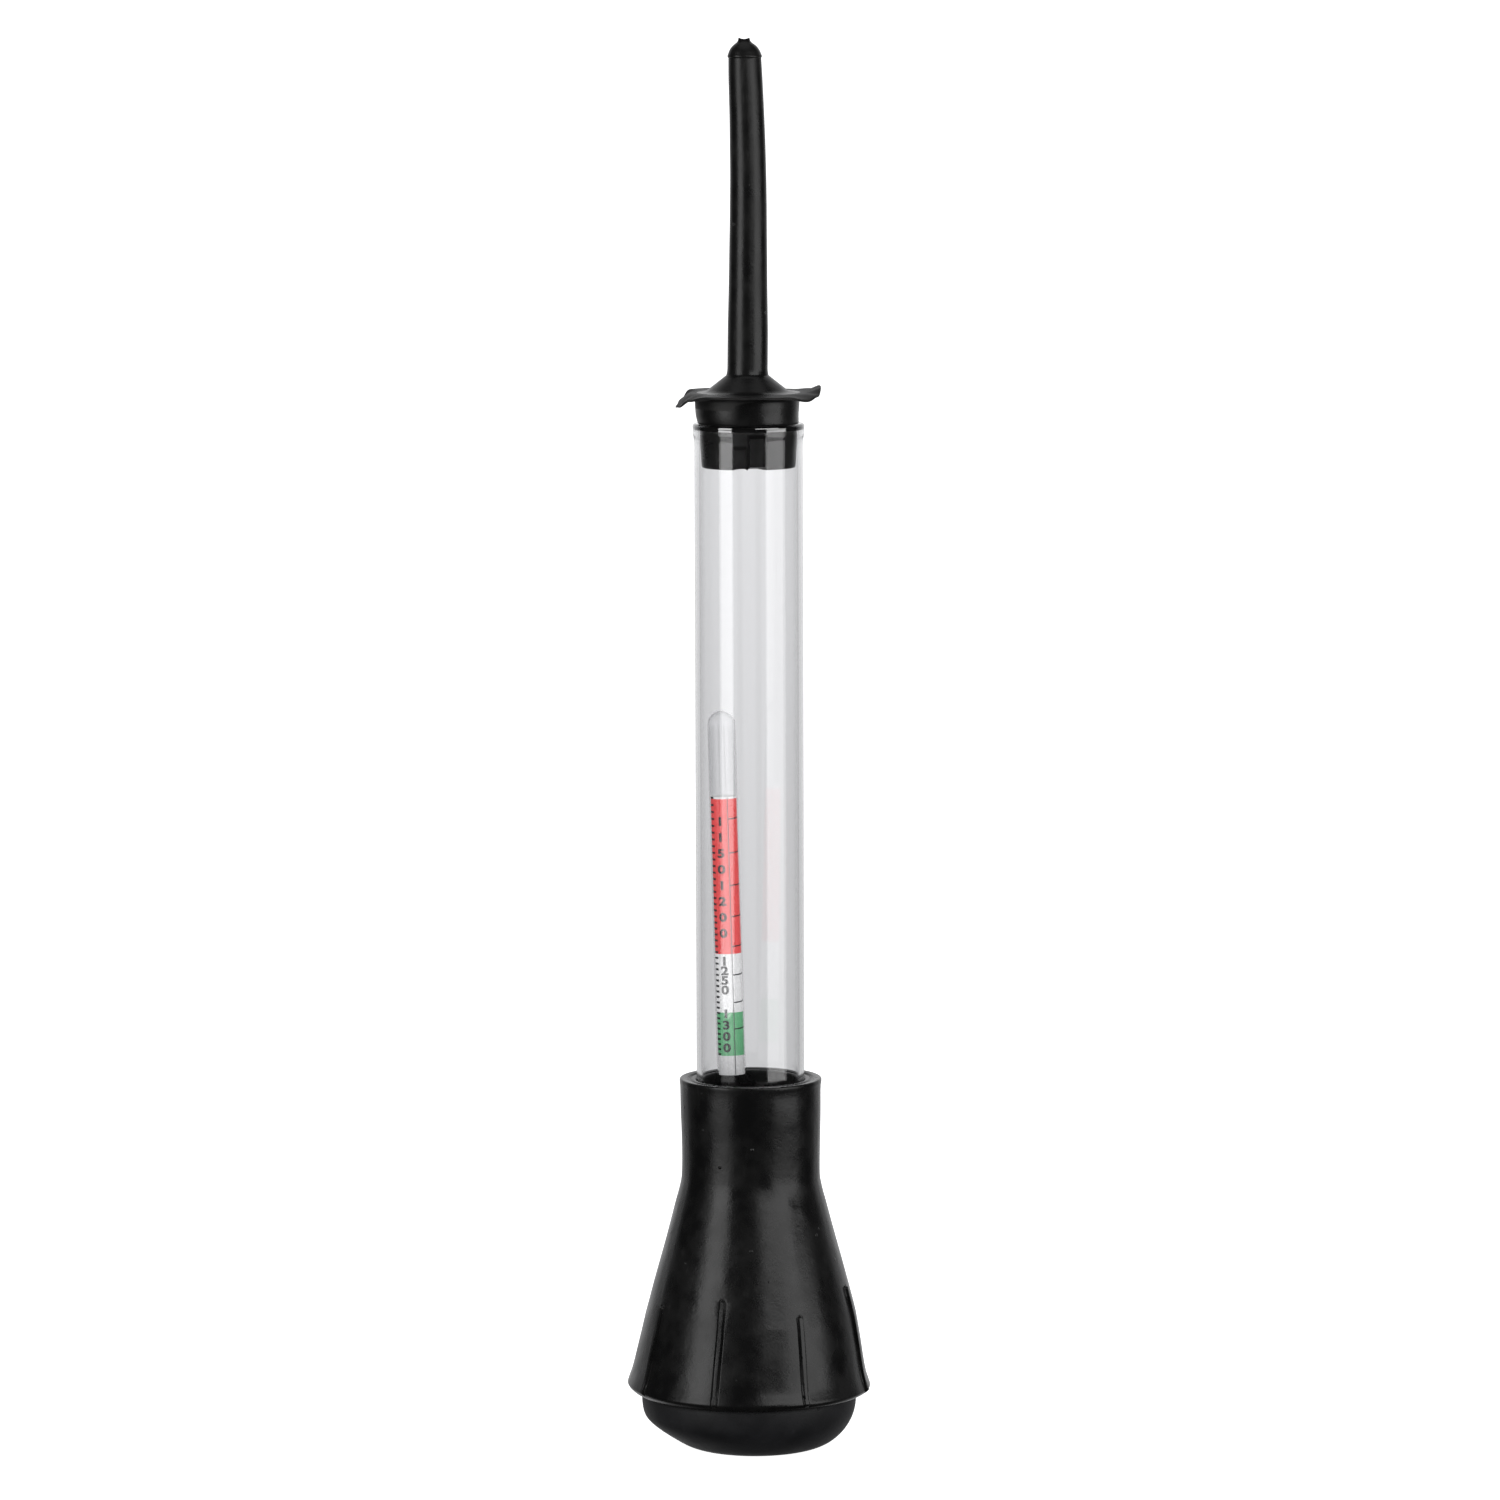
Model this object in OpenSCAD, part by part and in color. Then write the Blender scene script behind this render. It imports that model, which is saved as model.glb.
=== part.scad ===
// Suction hydrometer standing on its rubber bulb, tip up, in millimetres.
// +Z runs up the barrel; the origin is the centre of the flat under the bulb.

/* [Barrel] */
// Outside diameter of the glass barrel
barrel_d = 22; // [18:0.5:26]
// Wall thickness of the glass barrel
barrel_wall = 1.15; // [0.9:0.05:1.5]
// Height of the barrel's top rim above the base
barrel_top = 208.8; // [190:0.2:230]
// How far the fire-polished rim flares past the barrel's outside
rim_flare = 0.35; // [0.1:0.05:0.6]

/* [Bulb] */
// Height of the collar's top face above the base
collar_top = 75.6; // [70:0.2:82]
// Outside diameter of the collar where it grips the barrel
collar_d = 28.3; // [26:0.1:32]
// Diameter of the skirt at its lip
skirt_d = 49.6; // [46:0.2:56]
// Height of the skirt's lip above the base
skirt_z = 12.9; // [12:0.1:15]
// Diameter of the dome that closes the bulb
dome_d = 43.8; // [40:0.2:46]
// Corner radius of the dome
dome_corner = 10; // [8:0.5:11]
// Thickness of the bulb's rubber
rubber_wall = 2.6; // [2:0.1:3.2]
// Number of grip ribs on the skirt
rib_count = 8; // [4:1:12]
// Width of a grip rib
rib_w = 1; // [0.6:0.1:2]
// Height of a grip rib above the skirt
rib_h = 0.4; // [0.2:0.1:0.8]
// Height of the ribs' upper ends above the base
rib_top = 31.5; // [29:0.5:38]

/* [Suction tip] */
// Height of the tip's end above the base
tip_top = 287; // [270:0.5:300]
// Diameter of the suction tube at its root
tube_root_d = 7.8; // [7:0.1:9]
// Diameter of the suction tube just under its lip
tube_end_d = 6.1; // [5:0.1:6.4]
// Diameter of the bore along the suction tube
tube_bore_d = 3; // [2:0.1:3.6]
// Diameter of the hole in the tip's end
tip_hole_d = 1.3; // [0.8:0.1:1.6]
// Diameter of the flexible flange above the stopper
flange_d = 28.8; // [26:0.2:32]
// Thickness of the flexible flange
flange_t = 0.9; // [0.6:0.1:1.5]
// Diameter of the stopper at its upper end
stopper_d = 20.9; // [20.2:0.1:21]
// Diameter of the stopper at its inner end
stopper_end_d = 19; // [18:0.1:19.4]

/* [Float] */
// Outside diameter of the float's stem
stem_d = 6; // [5:0.1:6.6]
// Outside diameter of the float's body
body_d = 9.6; // [8:0.1:10]
// Whole length of the float
float_l = 148.5; // [140:0.5:150]
// Lean of the float against the barrel
lean = 1.77; // [1:0.01:1.8]
// Direction the float leans in, from +X towards +Y
lean_dir = 154.2; // [0:0.1:360]
// Distance of the float's foot from the barrel's axis
foot_offset = 2; // [0:0.1:2]

/* [Hidden] */
$fn = 96;

rubber = [0.09, 0.09, 0.10];
clear = [0.82, 0.88, 0.88, 0.4];
paper = [0.93, 0.93, 0.90];
lead = [0.42, 0.43, 0.45];
resin = [0.45, 0.14, 0.10];

barrel_r = barrel_d / 2;
bore_r = barrel_r - barrel_wall;
seat_z = collar_top - 19.2;          // shoulder that the barrel stands on
barrel_foot = seat_z + 0.1;
seam_z = skirt_z - 1.7;              // dome and skirt meet here
collar_r = collar_d / 2;
fit_gap = 0.05;                      // radial gap of a push fit

flange_z = barrel_top + 6.2;         // underside of the flange
shoulder_z = flange_z + 4.9;         // foot of the suction tube
stopper_foot = barrel_top - 8.1;     // inner end of the stopper
lip_z = tip_top - 3.8;               // moulded lip round the tip

glass_wall = 0.5;                    // float body
stem_wall = 0.2;
stem_r = stem_d / 2;
body_r = body_d / 2;
shoulder_start = 56;                 // heights along the float from its foot
shoulder_end = 64;
scale_foot = 73.9;
scale_l = 56.8;
shot_r = 1.4;
shot_layers = 3;
shot_pitch = 2 * shot_r + 0.05;

// Lays what is drawn up +Z along the leaning float's axis
module along_float() {
    floor_gap = 0.15;
    foot_z = rubber_wall + floor_gap + body_r * (1 - cos(lean));
    rotate([0, 0, lean_dir])
        translate([foot_offset, 0, foot_z])
            rotate([0, lean, 0])
                children();
}

module suction_tip() {
    root_r = tube_root_d / 2;
    end_r = tube_end_d / 2;
    stopper_r = stopper_d / 2;
    flange_r = flange_d / 2;
    end_face_r = stopper_end_d / 2;
    lip_r = end_r + 0.2;
    nib_r = 1.05;
    mouth_r = bore_r - fit_gap;
    channel_w = 3.4;
    channel_depth = 0.9;
    color(rubber)
        difference() {
            rotate_extrude()
                polygon([
                    [0, stopper_foot], [end_face_r - 0.5, stopper_foot],
                    [end_face_r, stopper_foot + 0.5], [mouth_r, barrel_top - 3],
                    [mouth_r + 0.15, barrel_top], [stopper_r, flange_z - 0.6],
                    [stopper_r + 0.4, flange_z], [flange_r, flange_z],
                    [flange_r, flange_z + flange_t], [root_r + 4.6, flange_z + flange_t],
                    [root_r, shoulder_z], [root_r, shoulder_z + 7],
                    [(root_r + end_r) / 2, (shoulder_z + lip_z) / 2 + 9],
                    [end_r, lip_z - 0.8], [lip_r, lip_z], [lip_r, lip_z + 0.4],
                    [lip_r - 0.35, lip_z + 1.4], [lip_r - 1.2, lip_z + 2.6],
                    [nib_r, tip_top - 0.3], [nib_r, tip_top], [0, tip_top]]);
            translate([0, 0, stopper_foot - 1])
                cylinder(d = tube_bore_d, h = lip_z - stopper_foot + 2);
            translate([0, 0, lip_z])
                cylinder(d = tip_hole_d, h = tip_top - lip_z + 1);
            for (side = [0, 180])
                rotate([0, 0, side - 80])
                    translate([end_face_r - channel_depth, -channel_w / 2, stopper_foot - 1])
                        cube([channel_depth + 1, channel_w, 7.8]);
        }
}

module glass_barrel() {
    bead_r = 0.55;   // melted edge of the rim
    bead_centre = barrel_r + rim_flare - bead_r;
    bead_z = barrel_top - bead_r;
    color(clear)
        rotate_extrude() {
            polygon([
                [bore_r, barrel_foot], [barrel_r, barrel_foot],
                [barrel_r, barrel_top - 3.4],
                [bead_centre + bead_r, bead_z - 0.6],
                [bead_centre + bead_r, bead_z],
                [bead_centre - bead_r, bead_z],
                [bead_centre - bead_r, bead_z - 0.6],
                [bore_r, barrel_top - 3]]);
            translate([bead_centre, bead_z])
                circle(r = bead_r);
        }
}

// Outer face of the bulb from the neck down to the lip, as [radius, height]
skirt_outline = [
    [collar_r, seat_z - 1], [collar_r + 0.25, seat_z - 2.6],
    [collar_r + 1.1, seat_z - 5.4], [skirt_d / 2 - 3.4, skirt_z + 15],
    [skirt_d / 2 - 1.35, skirt_z + 4.6], [skirt_d / 2 - 0.8, skirt_z + 2.6],
    [skirt_d / 2, skirt_z]];

// Point on the skirt's long slope at a height
function on_slope(z) = let (a = skirt_outline[2], b = skirt_outline[3])
    a + (b - a) * (z - a[1]) / (b[1] - a[1]);

// One rib, from its upper end on the long slope down to the skirt's lip
module grip_rib() {
    foot = skirt_outline[6];
    rotate([90, 0, 0])
        linear_extrude(rib_w, center = true)
            polygon([
                on_slope(rib_top) - [1, 0], on_slope(rib_top),
                on_slope(rib_top - 0.8) + [rib_h, 0],
                skirt_outline[3] + [rib_h, 0], skirt_outline[4] + [rib_h, 0],
                foot + [0, 0.8], foot - [1, 0]]);
}

module squeeze_bulb() {
    grip_r = barrel_r + fit_gap;
    throat_r = bore_r + fit_gap;
    lip_over = 0.3;
    color(rubber)
        difference() {
            union() {
                rotate_extrude()
                    polygon(concat(
                        [[0, collar_top + 0.1], [grip_r + 0.6, collar_top + 0.1],
                         [collar_r + lip_over - 0.4, collar_top - 0.3],
                         [collar_r + lip_over, collar_top - 0.9],
                         [collar_r + 0.25, collar_top - 2.2],
                         [collar_r + 0.1, collar_top - 8]],
                        skirt_outline,
                        [[skirt_d / 2 - 0.2, seam_z + 0.5], [skirt_d / 2 - 0.9, seam_z],
                         [0, seam_z]]));
                for (i = [0 : rib_count - 1])
                    rotate([0, 0, -15 + i * 360 / rib_count])
                        grip_rib();
            }
            rotate_extrude()
                polygon([
                    [0, collar_top + 1], [grip_r + 0.5, collar_top + 1],
                    [grip_r + 0.5, collar_top], [grip_r, collar_top - 0.8],
                    [grip_r, seat_z], [throat_r, seat_z],
                    [throat_r, seat_z - 3],
                    [collar_r + 1.1 - rubber_wall, seat_z - 6.2],
                    [skirt_d / 2 - 3.4 - rubber_wall, skirt_z + 14.6],
                    [dome_d / 2 - rubber_wall, skirt_z + 4],
                    [dome_d / 2 - rubber_wall, seam_z - 1],
                    [0, seam_z - 1]]);
        }
}

// Half section of a dome standing on the base, solid to its axis
module dome_section(r, corner, floor_z, top_z) {
    intersection() {
        union() {
            translate([r - corner, floor_z + corner])
                circle(r = corner);
            translate([0, floor_z])
                square([r - corner, top_z - floor_z]);
            translate([0, floor_z + corner])
                square([r, top_z - floor_z - corner]);
        }
        translate([0, floor_z])
            square([r + 1, top_z - floor_z]);
    }
}

module bulb_dome() {
    color(rubber)
        rotate_extrude()
            difference() {
                dome_section(dome_d / 2, dome_corner, 0, seam_z);
                dome_section(dome_d / 2 - rubber_wall, dome_corner - rubber_wall,
                             rubber_wall, seam_z + 1);
            }
}

// Round-ended float outline: body, shoulder and stem, inset by the glass walls
module float_section(body_inset, stem_inset) {
    body = body_r - body_inset;
    stem = stem_r - stem_inset;
    intersection() {
        union() {
            translate([0, body_r])
                circle(r = body);
            translate([0, body_r])
                square([body, shoulder_start - body_r]);
            polygon([[0, shoulder_start], [body, shoulder_start],
                     [stem + 0.9, (shoulder_start + shoulder_end) / 2 + 1],
                     [stem + 0.15, shoulder_end - 1.2],
                     [stem, shoulder_end], [0, shoulder_end]]);
            translate([0, shoulder_end])
                square([stem, float_l - stem_r - shoulder_end]);
            translate([0, float_l - stem_r])
                circle(r = stem);
        }
        square([body_r + 1, float_l + 1]);
    }
}

module float_glass() {
    color(clear)
        along_float()
            rotate_extrude()
                difference() {
                    float_section(0, 0);
                    float_section(glass_wall, stem_wall);
                }
}

module float_scale() {
    scale_r = stem_r - stem_wall - 0.05;
    sheet_t = 0.2;
    color(paper)
        along_float()
            translate([0, 0, scale_foot])
                difference() {
                    cylinder(r = scale_r, h = scale_l);
                    translate([0, 0, -1])
                        cylinder(r = scale_r - sheet_t, h = scale_l + 2);
                }
}

module ballast_shot() {
    first_ring = 4.2;
    around = 6;
    nest_lift = 0.65;   // the middle ball rides above its ring
    color(lead)
        along_float()
            for (layer = [0 : shot_layers - 1]) {
                level = first_ring + layer * shot_pitch;
                translate([0, 0, level + nest_lift])
                    sphere(r = shot_r);
                for (i = [0 : around - 1])
                    rotate([0, 0, (i + layer / 2) * 360 / around])
                        translate([2 * shot_r + 0.03, 0, level])
                            sphere(r = shot_r);
            }
}

module ballast_seal() {
    seal_foot = 12.2;
    seal_h = 4.4;
    seal_r = body_r - glass_wall - 0.05;
    color(resin)
        along_float()
            translate([0, 0, seal_foot])
                cylinder(r = seal_r, h = seal_h);
}

suction_tip();
glass_barrel();
squeeze_bulb();
bulb_dome();
float_glass();
float_scale();
ballast_shot();
ballast_seal();
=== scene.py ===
"""Looks of the suction hydrometer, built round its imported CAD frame.

Outlines are lists of (radius, height) in millimetres. Meshes are scaled to metres when they are made.
Angles round the barrel run from +X towards +Y, so the viewer at -Y is at -90 degrees.
"""

import math

import bmesh
import bpy
from mathutils import Matrix, Vector, noise


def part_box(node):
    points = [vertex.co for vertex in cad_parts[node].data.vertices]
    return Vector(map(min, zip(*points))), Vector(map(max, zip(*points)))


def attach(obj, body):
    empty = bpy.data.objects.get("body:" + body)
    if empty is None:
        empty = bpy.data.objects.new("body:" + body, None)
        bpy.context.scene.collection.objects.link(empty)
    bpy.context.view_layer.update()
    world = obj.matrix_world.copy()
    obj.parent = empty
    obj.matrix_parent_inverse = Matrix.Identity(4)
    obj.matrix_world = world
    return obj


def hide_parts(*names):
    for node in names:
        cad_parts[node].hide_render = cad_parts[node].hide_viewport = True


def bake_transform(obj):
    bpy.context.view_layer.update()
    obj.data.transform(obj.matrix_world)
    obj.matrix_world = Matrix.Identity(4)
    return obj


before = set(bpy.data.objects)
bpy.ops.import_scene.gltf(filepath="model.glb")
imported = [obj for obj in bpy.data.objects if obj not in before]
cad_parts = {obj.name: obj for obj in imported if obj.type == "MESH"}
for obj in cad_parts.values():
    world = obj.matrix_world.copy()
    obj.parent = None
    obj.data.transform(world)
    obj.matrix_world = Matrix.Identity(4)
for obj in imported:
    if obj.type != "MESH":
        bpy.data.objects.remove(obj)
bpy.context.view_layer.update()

MM = 0.001
TURN = 2 * math.pi
SHARP_EDGE = math.radians(40)


# ---------------------------------------------------------------- sizes from the frame

def box_mm(node):
    """Lowest and highest corner of a CAD node, in millimetres."""
    low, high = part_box(node)
    return Vector(low) / MM, Vector(high) / MM


barrel_low, barrel_high = box_mm("glass_barrel")
bulb_low, bulb_high = box_mm("squeeze_bulb")
tip_low, tip_high = box_mm("suction_tip")

RIM_R = barrel_high.x
RIM_FLARE = 0.35
BARREL_R = RIM_R - RIM_FLARE
BARREL_WALL = 1.15
BORE_R = BARREL_R - BARREL_WALL
RIM_Z = barrel_high.z
SKIRT_R = -bulb_low.x
SEAM_Z = bulb_low.z
COLLAR_Z = bulb_high.z
DOME_R = box_mm("bulb_dome")[1].x
FLANGE_R = tip_high.x
STOPPER_FOOT = tip_low.z
TIP_Z = tip_high.z
RUBBER_WALL = 2.6

# The float's axis, as the CAD model sets it
FLOAT_LEAN = math.radians(1.77)
FLOAT_LEAN_DIR = math.radians(154.2)
FLOAT_FOOT_OFFSET = 2.0
FLOAT_FOOT_Z = 2.75
FLOAT_L = 148.5
STEM_R = 3.0
STEM_WALL = 0.2
BODY_R = 4.8
BODY_WALL = 0.5


# ---------------------------------------------------------------- outlines and meshes

def smoothstep(low, high, value):
    t = min(max((value - low) / (high - low), 0), 1)
    return t * t * (3 - 2 * t)


def curve(points, steps=6):
    """Smooth curve through the points, as a denser list of points."""
    points = [Vector(p) for p in points]
    ends = [2 * points[0] - points[1]] + points + [2 * points[-1] - points[-2]]
    out = []
    for before, start, end, after in zip(ends, ends[1:], ends[2:], ends[3:]):
        for i in range(steps):
            t = i / steps
            out.append(0.5 * (2 * start + (end - before) * t
                              + (2 * before - 5 * start + 4 * end - after) * t * t
                              + (3 * start - before - 3 * end + after) * t ** 3))
    return out + [points[-1]]


def line(start, end, steps):
    """Evenly spaced points from start to end."""
    return [Vector(start).lerp(Vector(end), i / steps) for i in range(steps + 1)]


def arc(centre, radius, start, end, steps):
    """Points along a round stretch of an outline, angles in degrees."""
    angles = [math.radians(start + (end - start) * i / steps) for i in range(steps + 1)]
    return [Vector(centre) + radius * Vector((math.cos(a), math.sin(a))) for a in angles]


def even_angles(count):
    return [TURN * i / count for i in range(count)]


def turned(outline, angles, closed=True, shape=None, inside_out=False):
    """A bmesh turned round +Z from an outline. Points at radius 0 become poles.

    shape(radius, angle, height) moves a point and returns the new (x, y, z).
    """
    mesh = bmesh.new()
    rings = []
    for radius, height in outline:
        ring_angles = angles if radius > 1e-6 else [0]
        ring = []
        for angle in ring_angles:
            place = (radius * math.cos(angle), radius * math.sin(angle), height)
            if shape:
                place = shape(radius, angle, height)
            ring.append(mesh.verts.new(place))
        rings.append(ring)
    followers = rings[1:] + rings[:1] if closed else rings[1:]
    for ring, follower in zip(rings, followers):
        for i in range(len(angles)):
            j = (i + 1) % len(angles)
            if len(ring) == 1 and len(follower) == 1:
                continue
            if len(ring) == 1:
                mesh.faces.new((ring[0], follower[j], follower[i]))
            elif len(follower) == 1:
                mesh.faces.new((ring[i], ring[j], follower[0]))
            else:
                mesh.faces.new((ring[i], ring[j], follower[j], follower[i]))
    bmesh.ops.recalc_face_normals(mesh, faces=mesh.faces)
    if inside_out:
        bmesh.ops.reverse_faces(mesh, faces=mesh.faces)
    return mesh


def join(meshes):
    """One bmesh from several."""
    whole = bmesh.new()
    for part in meshes:
        data = bpy.data.meshes.new("part")
        part.to_mesh(data)
        part.free()
        whole.from_mesh(data)
        bpy.data.meshes.remove(data)
    return whole


def piece(name, mesh, material):
    """A Blender object in metres from a bmesh in millimetres, smooth but for its sharp edges."""
    data = bpy.data.meshes.new(name)
    mesh.to_mesh(data)
    mesh.free()
    data.transform(Matrix.Scale(MM, 4))
    for polygon in data.polygons:
        polygon.use_smooth = True
    data.set_sharp_from_angle(angle=SHARP_EDGE)
    data.materials.append(material)
    thing = bpy.data.objects.new(name, data)
    bpy.context.scene.collection.objects.link(thing)
    return thing


# ---------------------------------------------------------------- materials

def shader(name, **sockets):
    """A new node material with values set on its Principled shader: (material, nodes, shader, link)."""
    made = bpy.data.materials.new(name)
    made.use_nodes = True
    nodes = made.node_tree.nodes
    principled = nodes["Principled BSDF"]
    for socket, value in sockets.items():
        principled.inputs[socket.replace("_", " ")].default_value = value
    return made, nodes, principled, made.node_tree.links.new


def noise_texture(nodes, link, scale, detail=3, stretch=(1, 1, 1)):
    """Noise in the piece's own space, scale in features per metre."""
    place = nodes.new("ShaderNodeTexCoord")
    mapping = nodes.new("ShaderNodeMapping")
    mapping.inputs["Scale"].default_value = stretch
    texture = nodes.new("ShaderNodeTexNoise")
    texture.inputs["Scale"].default_value = scale
    texture.inputs["Detail"].default_value = detail
    link(place.outputs["Object"], mapping.inputs["Vector"])
    link(mapping.outputs["Vector"], texture.inputs["Vector"])
    return texture.outputs["Fac"]


def ranged(nodes, link, value, from_low, from_high, to_low, to_high):
    """The value mapped from one range to another, and held at its ends."""
    node = nodes.new("ShaderNodeMapRange")
    for socket, number in zip(("From Min", "From Max", "To Min", "To Max"),
                              (from_low, from_high, to_low, to_high)):
        node.inputs[socket].default_value = number
    link(value, node.inputs["Value"])
    return node.outputs["Result"]


def maths(nodes, link, operation, first, second):
    node = nodes.new("ShaderNodeMath")
    node.operation = operation
    for socket, value in zip(node.inputs, (first, second)):
        if isinstance(value, (int, float)):
            socket.default_value = value
        else:
            link(value, socket)
    return node.outputs[0]


def mixed(nodes, link, factor, first, second):
    """Mix of two colours, each an RGB tuple or another node's output."""
    node = nodes.new("ShaderNodeMix")
    node.data_type = "RGBA"
    link(factor, node.inputs["Factor"])
    for socket, value in ((node.inputs[6], first), (node.inputs[7], second)):
        if isinstance(value, tuple):
            socket.default_value = (*value, 1)
        else:
            link(value, socket)
    return node.outputs[2]


def bumped(nodes, link, principled, height, distance, strength):
    node = nodes.new("ShaderNodeBump")
    node.inputs["Distance"].default_value = distance
    node.inputs["Strength"].default_value = strength
    link(height, node.inputs["Height"])
    link(node.outputs["Normal"], principled.inputs["Normal"])


def specks(nodes, link, cells, size, share):
    """Small round spots: 1 in the middle of some cells, 0 elsewhere. cells is in cells per metre."""
    place = nodes.new("ShaderNodeTexCoord")
    texture = nodes.new("ShaderNodeTexVoronoi")
    texture.inputs["Scale"].default_value = cells
    link(place.outputs["Object"], texture.inputs["Vector"])
    chance = nodes.new("ShaderNodeSeparateColor")
    link(texture.outputs["Color"], chance.inputs["Color"])
    spot = ranged(nodes, link, texture.outputs["Distance"], size, size * 0.4, 0, 1)
    chosen = maths(nodes, link, "LESS_THAN", chance.outputs[0], share)
    return maths(nodes, link, "MULTIPLY", spot, chosen)


def rubber(name, dark, worn, matt, pits):
    """Moulded black rubber: mottled, faintly scuffed up its length, with a few pits and pimples."""
    made, nodes, principled, link = shader(name, IOR=1.5, Specular_IOR_Level=0.36)
    mottle = noise_texture(nodes, link, 190, 5)
    scuff = noise_texture(nodes, link, 700, 4, stretch=(1, 1, 0.18))
    scuffed = ranged(nodes, link, scuff, 0.62, 0.74, 0, 1)
    patches = ranged(nodes, link, mottle, 0.4, 0.68, 0, 1)
    wear = maths(nodes, link, "MULTIPLY", scuffed, patches)
    tone = mixed(nodes, link, patches, dark, tuple(0.6 * d + 0.4 * w for d, w in zip(dark, worn)))
    link(mixed(nodes, link, wear, tone, worn), principled.inputs["Base Color"])
    rough = ranged(nodes, link, mottle, 0.3, 0.7, matt - 0.05, matt + 0.08)
    link(maths(nodes, link, "ADD", rough, maths(nodes, link, "MULTIPLY", wear, 0.12)),
         principled.inputs["Roughness"])
    grain = maths(nodes, link, "MULTIPLY", noise_texture(nodes, link, 2600, 2), 0.35)
    ripple = maths(nodes, link, "MULTIPLY", noise_texture(nodes, link, 420, 2), 0.9)
    relief = maths(nodes, link, "ADD", grain, ripple)
    spots = maths(nodes, link, "MULTIPLY", specks(nodes, link, 300, 0.12, pits), 3.0)
    bumped(nodes, link, principled, maths(nodes, link, "ADD", relief, spots), 0.00007, 0.75)
    return made


def glass(name, tint, smears, **sockets):
    """Clear glass with faint draw lines and a little grime in its roughness."""
    made, nodes, principled, link = shader(name, IOR=1.5, Transmission_Weight=1.0, **sockets)
    haze = noise_texture(nodes, link, 60, 4, stretch=(1, 1, 0.3))
    link(mixed(nodes, link, ranged(nodes, link, haze, 0.35, 0.7, 0, 1),
               tint, tuple(0.985 * t for t in tint)), principled.inputs["Base Color"])
    link(ranged(nodes, link, haze, 0.45, 0.75, 0.0, smears), principled.inputs["Roughness"])
    draw = noise_texture(nodes, link, 240, 2, stretch=(1, 1, 0.02))
    bumped(nodes, link, principled, draw, 0.00002, 0.3)
    return made


def printed_paper(name, ink, rough=0.55):
    """Paper carrying an even ink, with fibres that show through it."""
    made, nodes, principled, link = shader(name, IOR=1.45, Specular_IOR_Level=0.3)
    fibres = noise_texture(nodes, link, 3800, 4, stretch=(1, 1, 0.5))
    lighter = tuple(min(1, c * 1.08 + 0.01) for c in ink)
    darker = tuple(c * 0.9 for c in ink)
    link(mixed(nodes, link, ranged(nodes, link, fibres, 0.35, 0.65, 0, 1), darker, lighter),
         principled.inputs["Base Color"])
    link(ranged(nodes, link, fibres, 0.3, 0.7, rough - 0.06, rough + 0.06), principled.inputs["Roughness"])
    bumped(nodes, link, principled, fibres, 0.00002, 0.5)
    return made


def dull_metal(name, colour):
    """Grey lead with a soft bloom."""
    made, nodes, principled, link = shader(name, Metallic=1.0)
    bloom = noise_texture(nodes, link, 900, 4)
    link(mixed(nodes, link, bloom, colour, tuple(c * 0.5 for c in colour)), principled.inputs["Base Color"])
    link(ranged(nodes, link, bloom, 0.3, 0.7, 0.45, 0.7), principled.inputs["Roughness"])
    bumped(nodes, link, principled, bloom, 0.00005, 0.5)
    return made


def set_resin(name, colour):
    """Poured resin with darker clouds."""
    made, nodes, principled, link = shader(name, IOR=1.5)
    cloud = noise_texture(nodes, link, 500, 4)
    darker = tuple(c * 0.45 for c in colour)
    link(mixed(nodes, link, cloud, colour, darker), principled.inputs["Base Color"])
    link(ranged(nodes, link, cloud, 0.3, 0.7, 0.3, 0.5), principled.inputs["Roughness"])
    bumped(nodes, link, principled, cloud, 0.00008, 0.5)
    return made


RUBBER_BLACK = (0.0042, 0.0042, 0.0043)
RUBBER_WORN = (0.016, 0.0157, 0.0153)
DOME_BLACK = (0.0085, 0.0087, 0.0100)
bulb_rubber = rubber("bulb_rubber", RUBBER_BLACK, RUBBER_WORN, matt=0.26, pits=0.25)
flange_rubber = rubber("flange_rubber", RUBBER_BLACK, (0.05, 0.048, 0.046), matt=0.5, pits=0.4)
tip_rubber = rubber("tip_rubber", RUBBER_BLACK, RUBBER_WORN, matt=0.29, pits=0.15)
dome_rubber = rubber("dome_rubber", DOME_BLACK, (0.02, 0.02, 0.023), matt=0.58, pits=0.08)
barrel_glass = glass("barrel_glass", (0.95, 0.95, 0.955), smears=0.015)
# The rim's glass is tinted near black. This is painted shade standing for the dark stopper that the bead
# shows, not a colour of the glass. Its coat strengthens the lamps' real glints.
rim_painted_shade_glass = glass("rim_painted_shade_glass", (0.035, 0.035, 0.037), smears=0.015, Coat_Weight=1.0, Coat_IOR=2.3)
rim_line = glass("rim_line", (0.95, 0.95, 0.95), smears=0.6)
stem_glass = glass("stem_glass", (0.97, 0.97, 0.975), smears=0.01)
paper_white = printed_paper("paper_white", (0.68, 0.68, 0.676))
# The same paper a little darker, for the unprinted foot of the scale: painted shade, not a different paper.
paper_foot_painted_shade = printed_paper("paper_foot_painted_shade", (0.60, 0.60, 0.60))
paper_red = printed_paper("paper_red", (0.705, 0.060, 0.060))
paper_green = printed_paper("paper_green", (0.108, 0.385, 0.178))
black_ink = printed_paper("black_ink", (0.018, 0.018, 0.022), rough=0.5)
lead = dull_metal("lead", (0.28, 0.28, 0.30))
resin = set_resin("resin", (0.22, 0.05, 0.03))


# ---------------------------------------------------------------- bulb

RIBS = [  # (angle, height of the upper end)
    (-15, 33.8), (30, 31.2), (75, 32.4), (120, 30.0),
    (160, 31.6), (209.5, 30.6), (253.4, 33.4), (298, 30.0)]
RIB_HALF_W = 0.42
RIB_H = 0.55
RIB_GROOVE = 0.08
LIP_Z = SEAM_Z + 1.7

NECK_R = 14.08
LIP_OVER = 0.3
FOOT_LEAN = 0.5     # the bulb's foot stands a little to the left


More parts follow.
